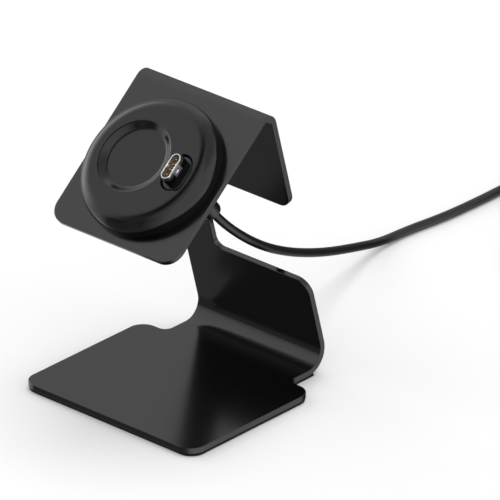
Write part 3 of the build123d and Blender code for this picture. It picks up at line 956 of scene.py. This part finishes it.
@dataclass
class Cord:
    """The cord, from its sleeve through the window to the table, and the coil of the rest."""

    diameter: float = 3.0 * MM
    length: float = 1.0
    west_x: float = -16.8 * MM
    centre_y: float = 194.0 * MM
    outer_radius: float = 21.875 * MM
    turns: float = 3.75
    steps: int = 24
    tie_lift: float = 0.6 * MM
    tie_reach: float = math.radians(40)
    tie_wide: float = 5.0 * MM
    tie_thick: float = 0.6 * MM
    tie_edge: float = 0.12 * MM
    tab_thick: float = 0.5 * MM
    tab_lift: float = 0.2 * MM
    tab_edge: float = 0.2 * MM
    tab_share: float = 0.55
    tab_shift: float = 0.14
    tab_wide_share: float = 0.96
    tail: float = 14.0 * MM
    plug_middle: float = 4.0 * MM

    def route(self) -> list[Vector]:
        """The points of the stretch that isn't coiled, from the sleeve to the coil."""
        floor = self.diameter / 2 / MM
        points = [
            (14.1, -2.307, 67.642),
            (14.1, 2.192, 62.28),
            (14.4, 12.2, 53.4),
            (12.4, 24.6, 44.7),
            (8.0, 40.0, 35.9),
            (1.6, 57.8, 26.8),
            (-5.9, 77.0, 17.8),
            (-13.4, 97.6, 9.3),
            (-19.6, 117.2, 2.0),
            (-19.6, 131.0, floor),
            (-17.4, 145.5, floor),
            (-16.7, 161.0, floor),
            (-16.8, 177.0, floor),
        ]
        return [Vector(point) * MM for point in points]

    def coil(self) -> list[Vector]:
        """Points of the wound turns: inward on the table, then outward on top of them."""
        centre_x = self.west_x + self.outer_radius
        step_angle = 2 * math.pi / self.steps
        widen = 1 / math.cos(step_angle / 2)
        count = round(self.turns * self.steps)
        points = []
        for index in range(2 * count + 1):
            angle = math.pi - index * step_angle
            inward = index if index <= count else 2 * count - index
            radius = (self.outer_radius - self.diameter * inward / self.steps) * widen
            rise = min(max((index - count) / (self.steps / 4) + 0.5, 0.0), 1.0)
            height = self.diameter * (0.5 + rise * rise * (3 - 2 * rise))
            off_tie = abs(math.remainder(angle - math.pi / 2, 2 * math.pi)) / self.tie_reach
            if off_tie < 1:
                height += self.tie_lift * (1 - off_tie * off_tie * (3 - 2 * off_tie))
            points.append(
                Vector((
                    centre_x + radius * math.cos(angle),
                    self.centre_y + radius * math.sin(angle),
                    height,
                ))
            )
        return points

    def end(self) -> list[Vector]:
        """Points of the short end that runs down into the far plug."""
        x = self.west_x + 2 * self.outer_radius
        return [
            Vector((x, self.centre_y - self.tail / 2, self.plug_middle)),
            Vector((x, self.centre_y - self.tail, self.plug_middle)),
        ]

    def build_line(self) -> Piece:
        """Makes the whole cord as one spline."""
        curve = bpy.data.curves.new("supply_cord", "CURVE")
        curve.dimensions = "3D"
        curve.bevel_depth = 1.0
        curve.bevel_resolution = 6
        curve.use_fill_caps = True
        curve.resolution_u = 6
        points = self.route() + self.coil() + self.end()
        spline = curve.splines.new("NURBS")
        spline.points.add(len(points) - 1)
        for knot, point in zip(spline.points, points):
            knot.co = (*point, 1.0)
            knot.radius = self.diameter / 2
        spline.order_u = 3
        spline.use_endpoint_u = True
        cord = bpy.data.objects.new("supply_cord", curve)
        bpy.context.scene.collection.objects.link(cord)
        return cord

    def build_tie(self) -> Piece:
        """Models the strap round the turns: a rounded loop with an overlapping end."""
        low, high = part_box("coil_tie")
        span_y = high.y - low.y
        span_z = high.z - low.z
        Bench.clear()
        bpy.ops.mesh.primitive_plane_add(size=1.0)
        loop = bpy.context.object
        loop.scale = (span_y, span_z, 1.0)
        bpy.ops.object.transform_apply(location=True, rotation=True, scale=True)
        bpy.ops.object.mode_set(mode="EDIT")
        bpy.ops.mesh.select_all(action="SELECT")
        bpy.ops.mesh.bevel(offset=self.diameter / 2, segments=6, affect="VERTICES")
        Bench.select(loop, "faces", lambda face: True)
        bpy.ops.mesh.delete(type="ONLY_FACE")
        bpy.ops.mesh.select_all(action="SELECT")
        bpy.ops.mesh.extrude_region_move(TRANSFORM_OT_translate={"value": (0, 0, self.tie_wide)})
        bpy.ops.mesh.select_all(action="SELECT")
        bpy.ops.mesh.normals_make_consistent(inside=False)
        bpy.ops.object.mode_set(mode="OBJECT")
        Bench.modify(loop, "SOLIDIFY", thickness=self.tie_thick, offset=-1.0)
        Bench.soften(loop, self.tie_edge, angle=50)
        tab = Bench.box(
            (self.tab_share * span_y, self.tab_thick, self.tab_wide_share * self.tie_wide),
            (self.tab_shift * span_y, span_z / 2 + self.tab_lift, self.tie_wide / 2),
        )
        Bench.soften(tab, self.tab_edge, segments=3)
        tie = Bench.join([loop, tab], "hook_and_loop_tie")
        middle = (low + high) / 2
        start = Matrix.Translation((middle.x - self.tie_wide / 2, middle.y, middle.z))
        Bench.place(tie, start @ axes_along((0, 1, 0), (0, 0, 1), (1, 0, 0)))
        Bench.smooth(tie, 30)
        return tie

    def dress(self, shop: PaintShop, plug_pieces: list[Piece]) -> None:
        """Args:
            shop: gives the finishes.
            plug_pieces: what lies on the cord's far end; not used.
        """
        cord = self.build_line()
        tie = self.build_tie()
        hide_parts("cord", "cord_coil", "cord_tail")
        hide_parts("coil_tie")
        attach(cord, DOCK)
        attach(tie, DOCK)
        shop.dress(cord, CORD_JACKET)
        shop.dress(tie, TIE_STRAP)
        log.info("cord: %d control points", len(cord.data.splines[0].points))


@dataclass(frozen=True)
class SoftEdge:
    """A soft, straight edge of a panel of light.

    Across points from the edge into the panel. Clear and full are how far along it a direction
    of length 1 reaches where the panel begins, and where all of it is there.
    """

    across: tuple[float, float, float]
    clear: float
    full: float


@dataclass(frozen=True)
class Panel:
    """A part of the studio that gloss shows: its brightness and its edges."""

    name: str
    level: float
    edges: tuple[SoftEdge, ...]


GAP_SIDES = (
    SoftEdge((1.15, -0.16, 0.13), -0.5, -0.09),
    SoftEdge((-1.15, 0.16, -0.13), -0.3, 0.02),
)


@dataclass
class Studio:
    """The camera, the floor and the soft light round the dock."""

    camera_at: Vector = field(default_factory=lambda: Vector((1.9919, -2.1641, 1.5028)))
    camera_pitch: float = math.radians(90 - 26.31)
    camera_turn: float = math.radians(42.22)
    lens: float = 735.59
    sensor: float = 36.0
    floor_size: float = 30.0
    floor_colour: Colour = (0.77, 0.77, 0.77)
    key_spread: float = math.radians(40)
    keys: tuple[tuple[tuple[float, float, float], float], ...] = (
        ((0.0, 0.35, 0.94), 1.25),
        ((-0.35, -0.6, 0.8), 0.35),
    )
    sky_from: float = -0.2
    sky: tuple[tuple[float, float], ...] = (
        (-0.2, 0.2), (0.0, 0.02), (0.25, 0.59), (0.5, 0.52), (0.75, 0.02), (1.0, 0.33),
    )
    panels: tuple[Panel, ...] = (
        Panel("left", 1.03, (SoftEdge((-1.2, 0.44, 0.337), 0.32, 0.61),)),
        Panel("left lamp", 3.27, (
            SoftEdge((-0.856, 0.04, 0.2), 0.66, 0.94),
            SoftEdge((0.0, -1.0, 0.0), -0.325, -0.26),
            SoftEdge((0.0, 0.0, 1.0), -0.445, 0.04),
        )),
        Panel("back left", 0.44, (
            SoftEdge((-0.518, 0.57, -0.159), 0.42, 0.75),
            SoftEdge((-1.0, 0.0, 0.0), -0.1, 0.35),
        )),
        Panel("right", 1.3, (
            SoftEdge((0.6, 0.114, 0.083), -0.2, 0.39),
            SoftEdge((0.0, -1.0, 0.0), -0.975, -0.74),
        )),
        Panel("top", 0.68, (
            SoftEdge((0.0, 1.0, 0.0), -0.245, 0.11),
            SoftEdge((0.0, 0.0, 1.0), 0.2, 0.71),
            SoftEdge((-1.0, 0.0, 0.0), -0.85, -0.49),
            SoftEdge((1.0, 0.0, 0.0), -0.35, -0.1),
        )),
        Panel("gap", 0.02, (*GAP_SIDES, SoftEdge((0.0, -1.0, 0.0), -0.33, 0.3))),
        Panel("foot of the gap", 0.28, (*GAP_SIDES, SoftEdge((0.0, 0.0, -1.0), -0.66, -0.47))),
        Panel("dark back", 0.05, (
            SoftEdge((0.0, 1.0, 0.0), 0.53, 0.93),
            SoftEdge((0.0, 0.0, -1.0), -0.3, 0.06),
        )),
    )

    def set_camera(self) -> None:
        """Puts the camera where the photograph was taken from."""
        data = bpy.data.cameras.new("camera")
        data.lens = self.lens
        data.sensor_width = self.sensor
        data.clip_start = 0.1
        data.clip_end = 100.0
        camera = bpy.data.objects.new("camera", data)
        camera.location = self.camera_at
        camera.rotation_euler = (self.camera_pitch, 0.0, self.camera_turn)
        bpy.context.scene.collection.objects.link(camera)
        bpy.context.scene.camera = camera

    def lay_floor(self) -> None:
        """Lays the pale floor, which keeps the dock's shadow.

        The studio's own lower half stands for the floor in what gloss shows, so glossy rays pass
        through this one.
        """
        Bench.clear()
        bpy.ops.mesh.primitive_plane_add(size=self.floor_size)
        floor = Bench.name(bpy.context.object, "floor")
        material = bpy.data.materials.new("floor")
        material.use_nodes = True
        sheet = NodeSheet(material.node_tree)
        nodes = material.node_tree.nodes
        nodes.remove(nodes["Principled BSDF"])
        matt = sheet.add("BsdfDiffuse", {"Color": (*self.floor_colour, 1.0)})
        clear = sheet.add("BsdfTransparent")
        glossy = sheet.add("LightPath").outputs["Is Glossy Ray"]
        whole = sheet.add("MixShader", {0: glossy, 1: matt.outputs[0], 2: clear.outputs[0]})
        sheet.fill(nodes["Material Output"], {"Surface": whole.outputs[0]})
        floor.data.materials.append(material)

    def panel_mask(
        self, sheet: NodeSheet, toward: Socket, panel: Panel
    ) -> Socket:
        """Says how much of a panel is in a direction, from 0 to 1."""
        mask = None
        for edge in panel.edges:
            reach = sheet.add("VectorMath", {0: toward, 1: edge.across}, operation="DOT_PRODUCT")
            part = sheet.remap(reach.outputs["Value"], (edge.clear, edge.full), (0.0, 1.0), smooth=True)
            mask = part if mask is None else sheet.math("MULTIPLY", mask, part)
        return mask

    def light(self) -> None:
        """Lights the dock from all round: a sky whose level goes by height, and soft panels."""
        world = bpy.data.worlds.new("studio")
        bpy.context.scene.world = world
        world.use_nodes = True
        sheet = NodeSheet(world.node_tree)
        nodes = world.node_tree.nodes
        toward = sheet.add("TexCoord").outputs["Generated"]
        rise = sheet.add("SeparateXYZ", {0: toward}).outputs["Z"]
        ramp = sheet.add("ValToRGB", {0: sheet.remap(rise, (self.sky_from, 1.0), (0.0, 1.0))})
        brightest = max(level for _, level in self.sky)
        for index, (height, level) in enumerate(self.sky):
            stops = ramp.color_ramp.elements
            stop = stops[index] if index < 2 else stops.new(height)
            stop.position = (height - self.sky_from) / (1 - self.sky_from)
            stop.color = (*[level / brightest] * 3, 1.0)
        level = sheet.math("MULTIPLY", ramp.outputs["Color"], brightest)
        for panel in self.panels:
            mask = self.panel_mask(sheet, toward, panel)
            blend = sheet.add(
                "Mix", {0: mask, 2: level, 3: panel.level}, data_type="FLOAT", label=panel.name
            )
            level = blend.outputs[0]
        white = (1.0, 1.0, 1.0, 1.0)
        sheet.fill(nodes["Background"], {"Color": white, "Strength": level})
        plain = sheet.add("Background", {"Color": white, "Strength": 1.0})
        seen = sheet.add("LightPath").outputs["Is Camera Ray"]
        studio = nodes["Background"].outputs[0]
        mix = sheet.add("MixShader", {0: seen, 1: studio, 2: plain.outputs[0]})
        sheet.fill(nodes["World Output"], {"Surface": mix.outputs[0]})

    def hang_keys(self) -> None:
        """Hangs wide, soft lights that deepen the floor's shadow. Gloss doesn't show them."""
        for number, (toward, strength) in enumerate(self.keys, 1):
            data = bpy.data.lights.new(f"key_{number}", "SUN")
            data.energy = strength
            data.angle = self.key_spread
            key = bpy.data.objects.new(f"key_{number}", data)
            key.rotation_euler = Vector(toward).to_track_quat("Z", "Y").to_euler()
            key.visible_glossy = False
            bpy.context.scene.collection.objects.link(key)

    def build(self) -> None:
        """Sets the camera, the floor, the light and the plain view transform."""
        self.set_camera()
        self.lay_floor()
        self.light()
        self.hang_keys()
        bpy.context.scene.view_settings.view_transform = "Standard"
        log.info("studio: camera at %s", tuple(round(value, 4) for value in self.camera_at))


def main() -> None:
    """Builds the dock's pieces in order and dresses them."""
    logging.basicConfig(level=logging.INFO, format="%(name)s: %(message)s")
    shop = PaintShop()
    Studio().build()
    Cord().dress(shop, SupplyPlug().dress(shop))
    Stand().dress(shop)
    Puck().dress(shop)
    ChargingPlug().dress(shop)


if __name__ == "__main__":
    main()
